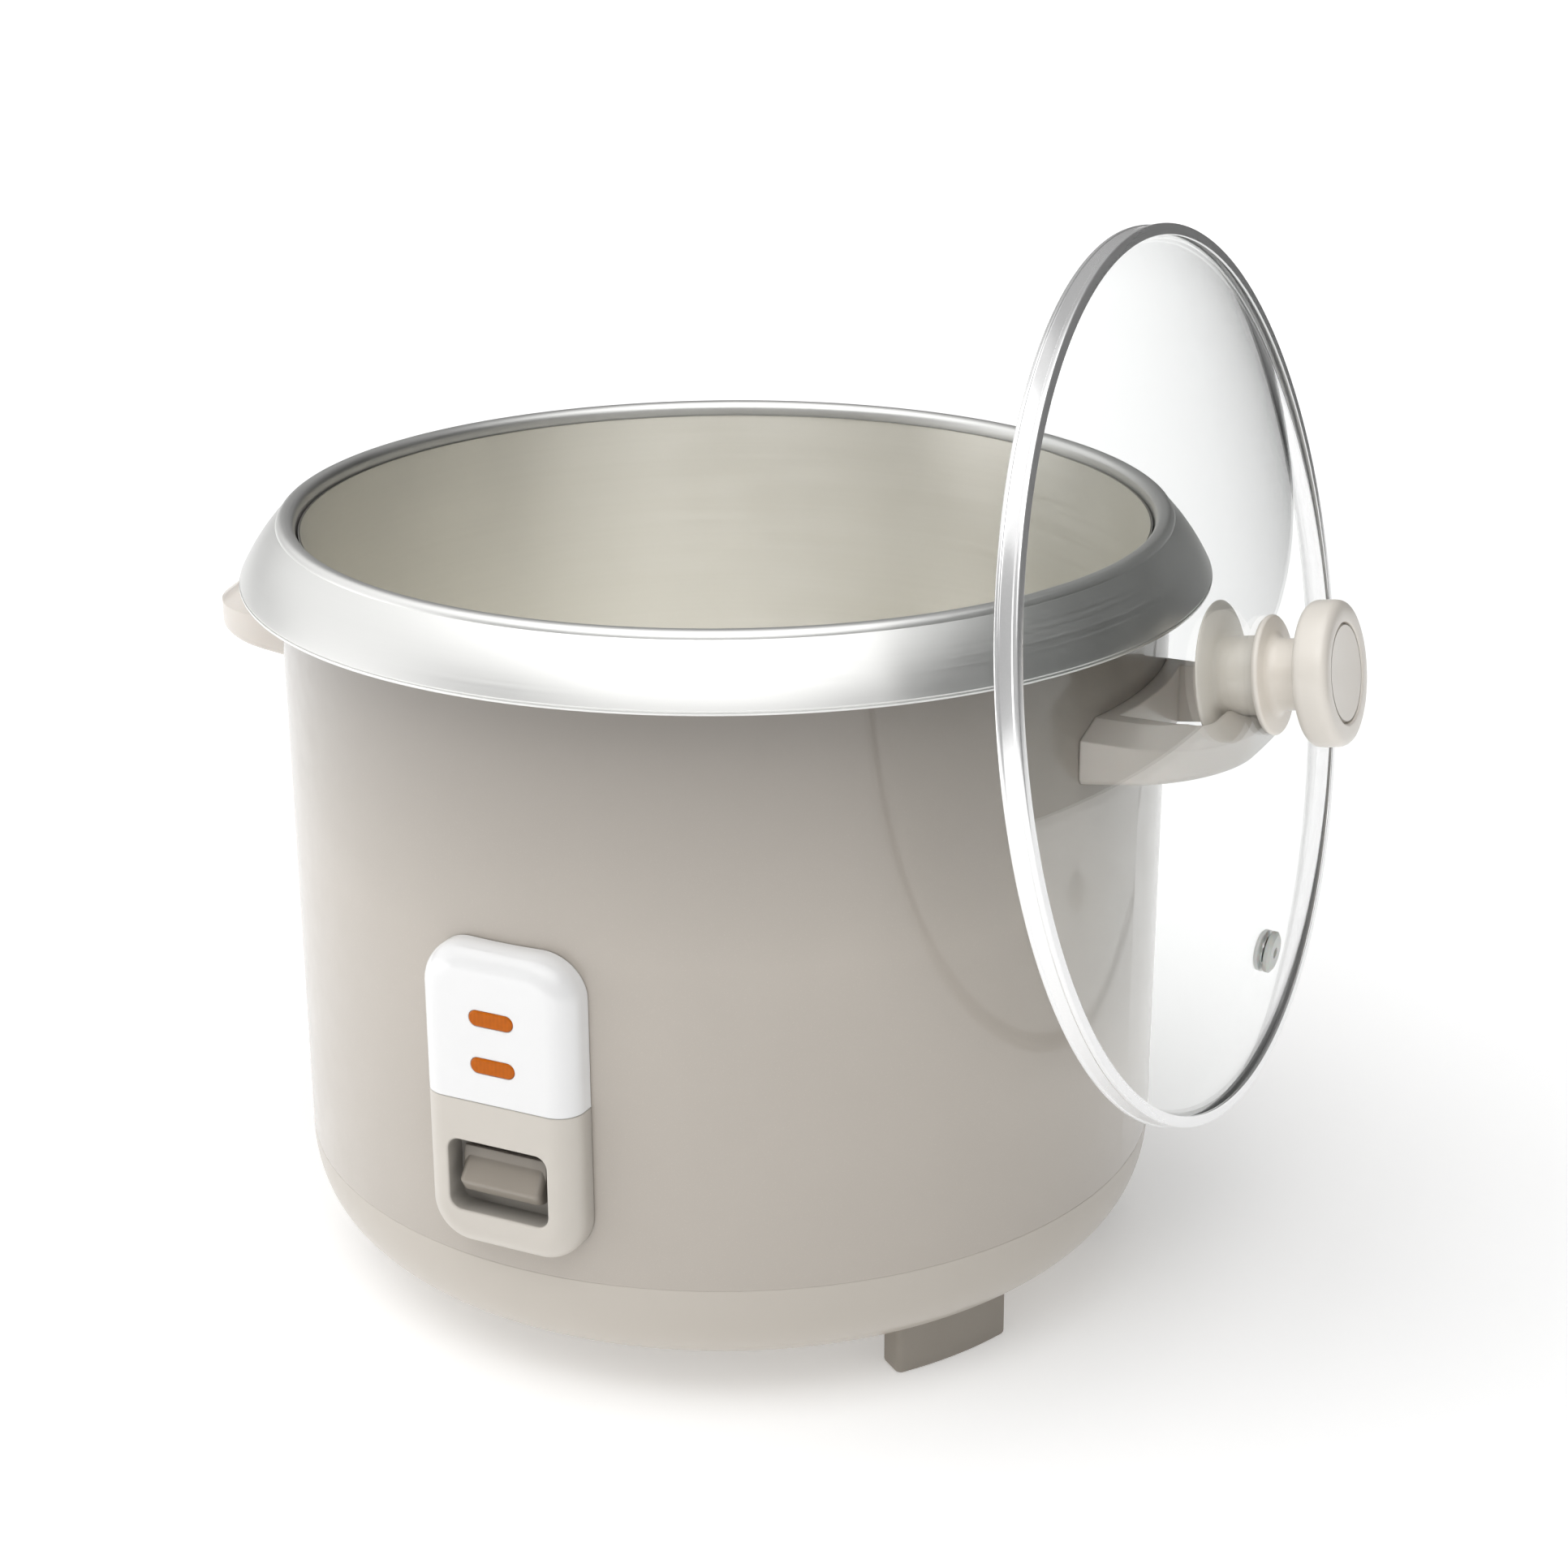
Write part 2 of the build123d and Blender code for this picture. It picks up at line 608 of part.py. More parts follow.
with BuildPart() as panel_lower:
    add(lower_blank.part)
    window_z = (WINDOW_Z0 + WINDOW_Z1) / 2
    window_height = WINDOW_Z1 - WINDOW_Z0
    recess_back = SHELL_TOP_R + 0.3
    with BuildSketch(Plane.XZ.offset(recess_back)):
        with Locations((0, window_z)):
            RectangleRounded(WINDOW_WIDTH + 3, window_height + 3, 5)
    extrude(amount=PANEL_FRONT - recess_back - PANEL_WALL)
    with BuildSketch(Plane.XZ.offset(recess_back + 1.2)):
        with Locations((0, window_z)):
            RectangleRounded(WINDOW_WIDTH, window_height, 3.6)
    extrude(amount=15, mode=Mode.SUBTRACT)
    # way through the recess's back for the lever's neck
    with BuildSketch(Plane.XZ.offset(125)):
        with Locations((0, 73.2)):
            Rectangle(16, 13.4)
    extrude(amount=10, mode=Mode.SUBTRACT)
    fillet(panel_lower.edges().filter_by_position(Axis.Y, -PANEL_FRONT, -PANEL_FRONT), 0.6)
write(panel_lower, "panel_lower")

for name, height in LAMP_HEIGHTS.items():
    with BuildPart() as lens:
        with BuildSketch(Plane.XZ.offset(PANEL_FRONT - PANEL_WALL)):
            with Locations((0, height)):
                SlotOverall(LAMP_WIDTH - 0.2, LAMP_HEIGHT - 0.2)
        extrude(amount=PANEL_WALL + 0.3)
        fillet(lens.faces().sort_by(Axis.Y)[0].edges(), 0.5)
        with BuildSketch(Plane.XZ.offset(PANEL_FRONT - PANEL_WALL - 1.2)):
            with Locations((0, height)):
                SlotOverall(LAMP_WIDTH + 3, LAMP_HEIGHT + 3)
        extrude(amount=1.2)
    write(lens, f"lamp_lens_{name}")

with BuildPart() as indicator_board:
    with BuildSketch(Plane.XZ.offset(126.2)):
        with Locations((0, 116)):
            Rectangle(20, 34)
    extrude(amount=1.4)
write(indicator_board, "indicator_board")

with BuildPart() as indicator_bulbs:
    for height in LAMP_HEIGHTS.values():
        with BuildSketch(Plane.YZ.offset(-5)):
            with Locations((-133.4, height)):
                Circle(1.9)
        extrude(amount=10)
        for lead_x in (-3, 3):
            with BuildSketch(Plane.XZ.offset(127.6)):
                with Locations((lead_x, height)):
                    Circle(0.4)
            extrude(amount=4.5)
write(indicator_bulbs, "indicator_bulbs")

# ---- electrics under the plate and power inlet -------------------------------------
with BuildPart() as warm_thermostat:
    with BuildSketch(Plane.XY.offset(plate_foot - 4)):
        with Locations((-42, -14)):
            Circle(8.5)
    extrude(amount=4)
write(warm_thermostat, "warm_thermostat")

with BuildPart() as thermal_fuse:
    with BuildSketch(Plane.YZ.offset(-11)):
        with Locations((43, plate_foot - 2.0)):
            Circle(1.9)
    extrude(amount=22)
write(thermal_fuse, "thermal_fuse")

with BuildPart() as terminal_block:
    with BuildSketch(Plane.XY.offset(TRAY_Z + TRAY_WALL)):
        with Locations((36, 44)):
            Rectangle(26, 14)
    extrude(amount=11)
    with BuildSketch(Plane.XY.offset(TRAY_Z + TRAY_WALL + 4)):
        with Locations((28, 44), (36, 44), (44, 44)):
            Circle(2.2)
    extrude(amount=8, mode=Mode.SUBTRACT)
write(terminal_block, "terminal_block")

with BuildPart() as inlet_socket:
    with BuildSketch(Plane.XZ.offset(-102)):
        with Locations((0, INLET_Z)):
            RectangleRounded(32, 20, 2)
    extrude(amount=-31.5)
    with BuildSketch(Plane.XZ.offset(-118)):
        with Locations((0, INLET_Z)):
            RectangleRounded(24.4, 16.4, 3)
    extrude(amount=-20, mode=Mode.SUBTRACT)
    with BuildSketch(Plane.XZ.offset(-100)):
        with Locations((-7, INLET_Z - 2), (0, INLET_Z + 2), (7, INLET_Z - 2)):
            Rectangle(2, 4)
    extrude(amount=-20, mode=Mode.SUBTRACT)
write(inlet_socket, "inlet_socket")

with BuildPart() as inlet_pins:
    with BuildSketch(Plane.XZ.offset(-96)):
        with Locations((-7, INLET_Z - 2), (0, INLET_Z + 2), (7, INLET_Z - 2)):
            Rectangle(2, 4)
    extrude(amount=-31)
write(inlet_pins, "inlet_pins")

# ---- glass lid, hung by its boss ---------------------------------------------------
with BuildPart() as lid_glass:
    with BuildSketch(lid_section):
        with BuildLine():
            top = ThreePointArc((3.2, dome(3.2)), (70, dome(70)), (GLASS_R, dome(GLASS_R)))
            under = ThreePointArc(
                (3.2, dome(3.2, GLASS_THICKNESS)),
                (70, dome(70, GLASS_THICKNESS)),
                (GLASS_R, dome(GLASS_R, GLASS_THICKNESS)),
            )
            Line(top @ 0, under @ 0)
            Line(top @ 1, under @ 1)
        make_face()
    revolve(axis=lid_axis)
    VENT_RADIUS = 81.5
    vent_lean = asin(VENT_RADIUS / dome_r)
    vent_out = Vector(cos(tilt - vent_lean), 0, sin(tilt - vent_lean))
    vent_up = Vector(-sin(tilt - vent_lean), 0, cos(tilt - vent_lean))
    vent_point = lid_origin - lid_up * VENT_RADIUS + lid_out * dome(VENT_RADIUS)
    with BuildSketch(Plane(origin=vent_point - vent_out * 10, x_dir=(0, 1, 0), z_dir=vent_out)):
        Circle(4.1)
    extrude(amount=20, mode=Mode.SUBTRACT)
write(lid_glass, "lid_glass")

with BuildPart() as lid_rim:
    with BuildSketch(lid_section):
        outline([
            (121.6, 0.0),
            (LID_R, 0.0),
            (LID_R, BAND_HEIGHT - 0.6),
            (LID_R - 0.8, BAND_HEIGHT),
            (121.8, BAND_HEIGHT + 0.1),
            (121.8, BAND_HEIGHT - 0.6),
            (LID_R - 1.2, BAND_HEIGHT - 0.9),
            (LID_R - 1.2, 0.7),
            (121.6, 0.7),
        ])
    revolve(axis=lid_axis)
write(lid_rim, "lid_rim")

with BuildPart() as vent_grommet:
    with BuildSketch(Plane(origin=vent_point, x_dir=vent_up, z_dir=(0, 1, 0))):
        outline([(1.6, 1.9), (5.0, 1.9), (6.0, 1.2), (6.0, 0.1), (4.0, 0.1), (4.0, -3.7), (6.0, -3.7),
                 (6.0, -4.8), (5.0, -5.4), (1.6, -5.4)])
    revolve(axis=Axis(vent_point, vent_out))
write(vent_grommet, "vent_grommet")

with BuildPart() as hanging_boss:
    with BuildSketch(lid_section):
        with BuildLine():
            seat = Line(
                (2.6, dome(0, GLASS_THICKNESS) - 0.02), (BOSS_R, dome(BOSS_R, GLASS_THICKNESS) - 0.02)
            )
            Polyline(
                seat @ 1,
                (BOSS_R, BOSS_FACE + 2.4),
                (BOSS_R + 1.4, BOSS_FACE + 1.2),
                (BOSS_FLANGE_R - 0.4, BOSS_FACE + 1.2),
                (BOSS_FLANGE_R, BOSS_FACE + 0.6),
                (BOSS_FLANGE_R - 0.6, BOSS_FACE),
                (5.0, BOSS_FACE),
                (5.0, BOSS_FACE + 3),
                (2.6, BOSS_FACE + 3),
                seat @ 0,
            )
        make_face()
    revolve(axis=lid_axis)
write(hanging_boss, "hanging_boss")

with BuildPart() as knob_stem:
    with BuildSketch(lid_section):
        with BuildLine():
            seat = Line((2.55, dome(0) + 0.02), (STEM_FLANGE_R - 0.6, dome(0) + 0.02))
            Polyline(
                seat @ 1,
                (STEM_FLANGE_R, GLASS_APEX + 0.6),
                (STEM_FLANGE_R - 0.5, GLASS_APEX + 1.5),
                (STEM_R + 1.5, GLASS_APEX + 1.7),
                (STEM_R, GLASS_APEX + 3.2),
                (STEM_R - 0.2, CAP_BACK),
                (0, CAP_BACK),
                (0, CAP_BACK - 2.3),
                (2.55, CAP_BACK - 2.3),
                seat @ 0,
            )
        make_face()
    revolve(axis=lid_axis)
write(knob_stem, "knob_stem")

with BuildPart() as knob_cap:
    with BuildSketch(lid_section):
        outline([
            (0, CAP_BACK),
            (KNOB_R - 1.8, CAP_BACK),
            (KNOB_R, CAP_BACK + 1.8),
            (KNOB_R, CAP_FRONT - 2.2),
            (KNOB_R - 2.2, CAP_FRONT),
            (13.8, CAP_FRONT),
            (13.8, CAP_FRONT - 1.6),
            (0, CAP_FRONT - 1.6),
        ])
    revolve(axis=lid_axis)
write(knob_cap, "knob_cap")

with BuildPart() as knob_disc:
    with BuildSketch(lid_section):
        with BuildLine():
            dish = ThreePointArc((0, CAP_FRONT - 0.7), (7, CAP_FRONT - 0.6), (13.2, CAP_FRONT - 0.3))
            Polyline(dish @ 1, (13.6, CAP_FRONT - 0.7), (13.6, CAP_FRONT - 1.6),
                     (0, CAP_FRONT - 1.6), dish @ 0)
        make_face()
    revolve(axis=lid_axis)
write(knob_disc, "knob_disc")

with BuildPart() as knob_screw:
    with BuildSketch(lid_section):
        outline([(0, BOSS_FACE + 0.8), (4.6, BOSS_FACE + 0.8), (4.6, BOSS_FACE + 3), (2.5, BOSS_FACE + 3),
                 (2.5, CAP_BACK - 2.8), (0, CAP_BACK - 2.8)])
    revolve(axis=lid_axis)
write(knob_screw, "knob_screw")
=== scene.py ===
import json
from math import cos, pi, radians, sin, sqrt

import bmesh
import bpy
from mathutils import Matrix, Vector


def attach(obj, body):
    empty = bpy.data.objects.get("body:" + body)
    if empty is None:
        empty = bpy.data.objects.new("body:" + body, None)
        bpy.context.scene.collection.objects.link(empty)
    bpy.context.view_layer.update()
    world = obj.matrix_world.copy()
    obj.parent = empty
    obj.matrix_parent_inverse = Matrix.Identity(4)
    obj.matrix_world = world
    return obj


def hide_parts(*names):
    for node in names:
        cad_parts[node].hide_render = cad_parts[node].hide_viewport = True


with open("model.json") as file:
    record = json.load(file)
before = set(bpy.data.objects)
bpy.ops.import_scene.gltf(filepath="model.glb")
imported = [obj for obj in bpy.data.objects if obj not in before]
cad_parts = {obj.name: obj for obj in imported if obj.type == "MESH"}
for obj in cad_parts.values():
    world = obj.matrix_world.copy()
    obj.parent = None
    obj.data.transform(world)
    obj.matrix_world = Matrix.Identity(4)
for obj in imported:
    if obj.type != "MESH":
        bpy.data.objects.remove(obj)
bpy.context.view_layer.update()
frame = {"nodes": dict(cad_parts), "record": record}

MM = 0.001
TURNS = 192                # steps of a full turn on the large lathed pieces
KNOB_TURNS = 96            # the same on the lid's knob

# the parked lid: a tilted plane through its metal band's edge, heights above it in mm
LID_TILT = radians(9.5)
LID_UP = Vector((-sin(LID_TILT), 0, cos(LID_TILT)))
LID_OUT = Vector((cos(LID_TILT), 0, sin(LID_TILT)))
LID_CENTRE = Vector((141.4, 0, 198.7)) * MM
GLASS_APEX = 28.0
GLASS_EDGE = 6.5
GLASS_CHORD = 118.0        # half width of the domed part
GLASS_WALL = 3.5

# the camera, in metres and degrees
CAMERA_PLACE = (0.40541, -0.77934, 0.46690)
CAMERA_AZIMUTH = 26.37
CAMERA_PITCH = 20.156
CAMERA_ROLL = -0.29
CAMERA_LENS = 70.45

# heights on the drum in mm between which a painted shade darkens its paint towards the ring
PAINTED_SHADE_START = 140
PAINTED_SHADE_FULL = 222

# names of the new pieces that take the place of the lid's turned ones
TURNED_NAMES = {
    "knob_stem": "knob_stem_turned", "knob_cap": "knob_cap_turned",
    "knob_disc": "knob_disc_turned", "hanging_boss": "boss_turned",
}

# how rough a finish is, from its glossiest patch to its dullest
POLISHED = (0.15, 0.21)
GLOSSY = (0.16, 0.24)
SATIN = (0.3, 0.37)
MATT = (0.45, 0.6)


# ---- nodes --------------------------------------------------------------------------
class Tree:
    """A material's node tree with short ways to add and join nodes."""

    def __init__(self, name):
        self.material = bpy.data.materials.new(name)
        self.material.use_nodes = True
        self.tree = self.material.node_tree
        self.bsdf = self.tree.nodes["Principled BSDF"]

    def add(self, kind, inputs=None, **settings):
        node = self.tree.nodes.new(kind)
        for key, value in settings.items():
            setattr(node, key, value)
        for key, value in (inputs or {}).items():
            if isinstance(value, bpy.types.NodeSocket):
                self.tree.links.new(value, node.inputs[key])
            else:
                node.inputs[key].default_value = value
        return node

    def join(self, output, socket):
        self.tree.links.new(output, self.bsdf.inputs[socket])

    def place(self):
        return self.add("ShaderNodeTexCoord").outputs["Object"]

    def noise(self, vector, scale, detail=3.0, rough=0.55):
        settings = {"Vector": vector, "Scale": scale, "Detail": detail, "Roughness": rough}
        return self.add("ShaderNodeTexNoise", settings).outputs["Fac"]

    def spread(self, value, low, high, start=0.3, end=0.7):
        settings = {"Value": value, "From Min": start, "From Max": end, "To Min": low, "To Max": high}
        return self.add("ShaderNodeMapRange", settings).outputs["Result"]

    def math(self, operation, first, second=0.0):
        return self.add("ShaderNodeMath", {0: first, 1: second}, operation=operation).outputs[0]

    def mix(self, factor, first, second):
        node = self.add("ShaderNodeMix", data_type="RGBA")
        for index, value in ((0, factor), (6, first), (7, second)):
            if isinstance(value, bpy.types.NodeSocket):
                self.tree.links.new(value, node.inputs[index])
            else:
                node.inputs[index].default_value = value
        return node.outputs[2]

    def bump(self, height, strength, distance, normal=None):
        settings = {"Height": height, "Strength": strength, "Distance": distance}
        if normal:
            settings["Normal"] = normal
        return self.add("ShaderNodeBump", settings).outputs["Normal"]

    def around(self, vector, lines, stretch):
        """Coordinates that run in hoops about the Z axis, for brushed and spun metal."""
        parts = self.add("ShaderNodeSeparateXYZ", {"Vector": vector}).outputs
        square = self.math("ADD", self.math("MULTIPLY", parts[0], parts[0]),
                           self.math("MULTIPLY", parts[1], parts[1]))
        radius = self.math("SQRT", square)
        angle = self.math("ARCTAN2", parts[1], parts[0])
        hoop = {"X": self.math("MULTIPLY", radius, lines), "Y": self.math("MULTIPLY", parts[2], lines),
                "Z": self.math("MULTIPLY", angle, stretch)}
        return self.add("ShaderNodeCombineXYZ", hoop).outputs["Vector"]


def linear(red, green, blue, alpha=1.0):
    """A display colour, 0 to 255, as the linear colour a shader takes."""
    def channel(value):
        share = value / 255
        return share / 12.92 if share <= 0.04045 else ((share + 0.055) / 1.055) ** 2.4
    return channel(red), channel(green), channel(blue), alpha


def tinted(colour, share):
    return tuple(min(1.0, part * share) for part in colour[:3]) + (1.0,)


def edge_share(tree, radius):
    """1 on sharp outer edges within radius of them, 0 on flat stretches."""
    rounded = tree.add("ShaderNodeBevel", {"Radius": radius}, samples=4).outputs["Normal"]
    true = tree.add("ShaderNodeNewGeometry").outputs["Normal"]
    dot = tree.add("ShaderNodeVectorMath", {0: rounded, 1: true}, operation="DOT_PRODUCT")
    return tree.spread(dot.outputs["Value"], 0.0, 1.0, 0.985, 0.85)


def paint_hollow_shade(tree, colour, reach, depth):
    """Painted shade: darkens a colour inside hollows and under overhangs, the more closed in a point is.
    """
    hollow_shade = tree.add("ShaderNodeAmbientOcclusion", {"Distance": reach}, samples=6).outputs["AO"]
    share = tree.spread(hollow_shade, depth, 1.0, 0.35, 0.95)
    grey = tree.add("ShaderNodeCombineColor", {"Red": share, "Green": share, "Blue": share})
    node = tree.add("ShaderNodeMix", data_type="RGBA", blend_type="MULTIPLY")
    node.inputs[0].default_value = 1.0
    tree.tree.links.new(colour, node.inputs[6])
    tree.tree.links.new(grey.outputs["Color"], node.inputs[7])
    return node.outputs[2]


def moulded(name, colour, rough=SATIN, grain=0.05, coat=0.0, wear=0.0, mottle=0.97, subsurface=0.0,
            edge=0.5 * MM, hollow_shade=None):
    """Moulded plastic: faint mottling, fine texture, patches of polish, paler edges, and painted shade
    in its hollows when asked.
    """
    tree = Tree(name)
    place = tree.place()
    broad = tree.noise(place, 45, 3)
    base = tree.mix(tree.spread(broad, 0, 1), tinted(colour, mottle), colour)
    if wear:
        patches = tree.spread(tree.noise(place, 300, 2), 0, wear)
        worn = tree.math("MULTIPLY", edge_share(tree, 0.7 * MM), patches)
        base = tree.mix(worn, base, tinted(colour, 1.25))
    # painted shade in hollows and recesses
    if hollow_shade:
        base = paint_hollow_shade(tree, base, *hollow_shade)
    tree.join(base, "Base Color")
    tree.join(tree.spread(tree.noise(place, 130, 4), *rough), "Roughness")
    ripple = tree.math("MULTIPLY", tree.noise(place, 60, 1), 1.5)
    height = tree.math("ADD", tree.noise(place, 1400, 2), ripple)
    soft = tree.add("ShaderNodeBevel", {"Radius": edge}, samples=4).outputs["Normal"]
    tree.join(tree.bump(height, grain, 0.1 * MM, soft), "Normal")
    tree.bsdf.inputs["Coat Weight"].default_value = coat
    tree.bsdf.inputs["Coat Roughness"].default_value = 0.08
    tree.bsdf.inputs["Subsurface Weight"].default_value = subsurface
    tree.bsdf.inputs["Subsurface Scale"].default_value = 1.0 * MM
    return tree.material


def metal(name, colour, rough, lines, stretch, grain=0.06, metallic=1.0, mottle=0.93, spun=0.0):
    """Metal with fine hoops left by spinning or brushing, and broad smudges."""
    tree = Tree(name)
    place = tree.place()
    hoops = tree.noise(tree.around(place, lines, stretch), 1.0, 3)
    smudge = tree.noise(place, 30, 4)
    tone = tree.math("MULTIPLY", tree.spread(hoops, 0.4, 1.0), tree.spread(smudge, 0.7, 1.0))
    tree.join(tree.mix(tone, tinted(colour, mottle), colour), "Base Color")
    shine = tree.math("ADD", tree.spread(hoops, rough[0], rough[1]), tree.spread(smudge, -0.02, 0.03))
    tree.join(shine, "Roughness")
    tree.join(tree.bump(hoops, grain, 0.05 * MM), "Normal")
    tree.bsdf.inputs["Metallic"].default_value = metallic
    if spun:
        tree.bsdf.inputs["Anisotropic"].default_value = spun
        tree.bsdf.inputs["Anisotropic Rotation"].default_value = 0.25
        tree.join(tree.add("ShaderNodeTangent", direction_type="RADIAL", axis="Z").outputs[0], "Tangent")
    return tree.material


def enamel(name, colour):
    """Stoved paint on the drum: pearl flecks under a clear coat, and a painted shade that darkens it
    under the ring's overhang.
    """
    tree = Tree(name)
    place = tree.place()
    fleck = tree.noise(place, 3200, 1)
    broad = tree.noise(place, 14, 2)
    base = tree.mix(tree.spread(broad, 0, 1), tinted(colour, 0.965), colour)
    base = tree.mix(tree.spread(fleck, 0, 0.25, 0.62, 0.72), base, tinted(colour, 1.25))
    # painted shade: the colour darkens with height towards the ring's overhang
    height = tree.add("ShaderNodeSeparateXYZ", {"Vector": place}).outputs[2]
    shade = tree.spread(height, 0, 1, PAINTED_SHADE_START * MM, PAINTED_SHADE_FULL * MM)
    tree.join(tree.mix(shade, base, tinted(colour, 0.5)), "Base Color")
    tree.join(tree.spread(tree.noise(place, 90, 3), 0.3, 0.4), "Roughness")
    fine_peel = tree.math("MULTIPLY", tree.noise(place, 1700, 1), 0.25)
    peel = tree.math("ADD", tree.noise(place, 420, 1), fine_peel)
    tree.join(tree.bump(peel, 0.03, 0.1 * MM), "Normal")
    tree.bsdf.inputs["Coat Weight"].default_value = 0.75
    tree.bsdf.inputs["Coat Roughness"].default_value = 0.05
    tree.bsdf.inputs["Coat IOR"].default_value = 1.5
    return tree.material


def clear_glass(name):
    """Toughened glass that lets lamp light through, with faint water marks."""
    tree = Tree(name)
    marks = tree.noise(tree.place(), 55, 3)
    tree.join(tree.spread(marks, 0.0, 0.035, 0.5, 0.8), "Roughness")
    tree.bsdf.inputs["Base Color"].default_value = (0.985, 0.995, 0.99, 1)
    tree.bsdf.inputs["Transmission Weight"].default_value = 1.0
    tree.bsdf.inputs["IOR"].default_value = 1.5
    shadow = tree.add("ShaderNodeLightPath").outputs["Is Shadow Ray"]
    open_way = tree.add("ShaderNodeBsdfTransparent", {"Color": (0.97, 0.98, 0.975, 1)}).outputs[0]
    both = tree.add("ShaderNodeMixShader", {0: shadow, 1: tree.bsdf.outputs[0], 2: open_way}).outputs[0]
    output = tree.tree.nodes["Material Output"]
    tree.tree.links.new(both, output.inputs["Surface"])
    return tree.material


def amber(name, colour):
    """Lamp lens: deep orange plastic with fine ribs and faint clouding."""
    tree = Tree(name)
    place = tree.place()
    settings = {"Vector": place, "Scale": 260, "Distortion": 0.4}
    ribs = tree.add("ShaderNodeTexWave", settings, bands_direction="X").outputs["Fac"]
    cloud = tree.noise(place, 500, 2)
    shade = tree.math("ADD", tree.math("MULTIPLY", ribs, 0.25), tree.spread(cloud, 0, 0.5))
    tree.join(tree.mix(shade, tinted(colour, 0.86), tinted(colour, 1.12)), "Base Color")
    tree.join(tree.spread(cloud, 0.12, 0.22), "Roughness")
    tree.join(tree.bump(cloud, 0.03, 0.1 * MM), "Normal")
    tree.bsdf.inputs["Specular IOR Level"].default_value = 0.2
    return tree.material


paint = enamel("drum_enamel", linear(184, 176, 166))
ring_metal = metal("ring_aluminium", linear(230, 230, 228), (0.38, 0.45), 1400, 0.8, grain=0.02,
                   mottle=0.97)
pot_metal = metal("pot_anodised", linear(252, 250, 243), (0.32, 0.38), 700, 1.5, grain=0.02,
                  metallic=0.85, mottle=0.97, spun=0.9)
bright_metal = metal("band_steel", linear(244, 244, 244), POLISHED, 2200, 3.0, grain=0.03, metallic=0.7)
plain_steel = metal("zinc_steel", linear(176, 178, 180), (0.3, 0.45), 300, 20.0, grain=0.08)
cast_metal = metal("cast_aluminium", linear(190, 191, 192), (0.34, 0.45), 1800, 2.0, grain=0.1)
dark_iron = metal("sintered_iron", linear(70, 70, 72), (0.5, 0.65), 400, 30.0, grain=0.15, metallic=0.6)
brass = metal("pin_plate", linear(205, 180, 120), (0.16, 0.22), 500, 10.0)
base_plastic = moulded("base_moulding", linear(196, 189, 179), (0.3, 0.36), 0.012, coat=0.2, mottle=0.99)
foot_plastic = moulded("foot_moulding", linear(158, 151, 141), MATT, 0.12, wear=0.4)
grip_plastic = moulded("grip_moulding", linear(212, 205, 197), (0.29, 0.37), 0.035, coat=0.3, wear=0.25,
                       subsurface=0.05, edge=0.9 * MM)
white_plastic = moulded("white_moulding", linear(238, 238, 238), GLOSSY, 0.03, coat=0.5, mottle=0.985)
# the panel plastic carries painted shade in its hollows, darkest down in the switch's recess
beige_plastic = moulded("panel_moulding", linear(206, 200, 191), SATIN, 0.035, coat=0.25,
                        hollow_shade=(12 * MM, 0.5))
# the thumb lever: a darker copy of the panel plastic, painted shade for the lever down in its recess,
# with painted shade in its hollows as well
thumb_plastic = moulded("thumb_moulding", linear(150, 142, 131), SATIN, 0.035, coat=0.25, wear=0.2,
                        edge=0.8 * MM, hollow_shade=(8 * MM, 0.5))
knob_plastic = moulded("knob_moulding", linear(234, 228, 219), SATIN, 0.03, coat=0.3)
black_plastic = moulded("black_moulding", linear(38, 38, 38), (0.4, 0.55), 0.1)
board = moulded("board_laminate", linear(168, 138, 82), (0.5, 0.6), 0.1)
rubber = moulded("clear_silicone", linear(206, 209, 205), (0.3, 0.42), 0.04, subsurface=0.3)
lens = amber("lamp_lens", linear(190, 96, 0))
glass = clear_glass("lid_glass_clear")

FINISH = {
    "body_paint": paint, "ring_metal": ring_metal, "base_moulding": base_plastic,
    "foot_moulding": foot_plastic, "handle_moulding": grip_plastic, "panel_white": white_plastic,
    "panel_beige": beige_plastic, "lens_amber": lens, "pot_aluminium": pot_metal,
    "bright_steel": bright_metal, "cast_aluminium": cast_metal, "zinc_steel": plain_steel,
    "ferrite": dark_iron, "clear_glass": glass, "grommet_clear": rubber,
    "black_moulding": black_plastic, "board_fibre": board, "brass_pin": brass,
}
slot_of = {part["node"]: part["material_slot"] for part in frame["record"]["subparts"]}


# ---- meshes -------------------------------------------------------------------------
def finish_mesh(piece, material, body, nodes=(), angle=32):
    """Shades a new piece smooth except at its sharp edges, and ties it to the frame."""
    mesh = piece.data
    for polygon in mesh.polygons:
        polygon.use_smooth = True
    mesh.set_sharp_from_angle(angle=radians(angle))
    mesh.materials.clear()
    mesh.materials.append(material)
    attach(piece, body)
    if nodes:
        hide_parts(*nodes)
    return piece


def new_object(name, grid):
    mesh = bpy.data.meshes.new(name)
    grid.to_mesh(mesh)
    grid.free()
    piece = bpy.data.objects.new(name, mesh)
    bpy.context.scene.collection.objects.link(piece)
    return piece


def arc(centre, radius, start, end, steps):
    """Points on an arc of a section, angles in degrees."""
    turn = [radians(start + (end - start) * step / steps) for step in range(steps + 1)]
    return [(centre[0] + radius * cos(a), centre[1] + radius * sin(a)) for a in turn]


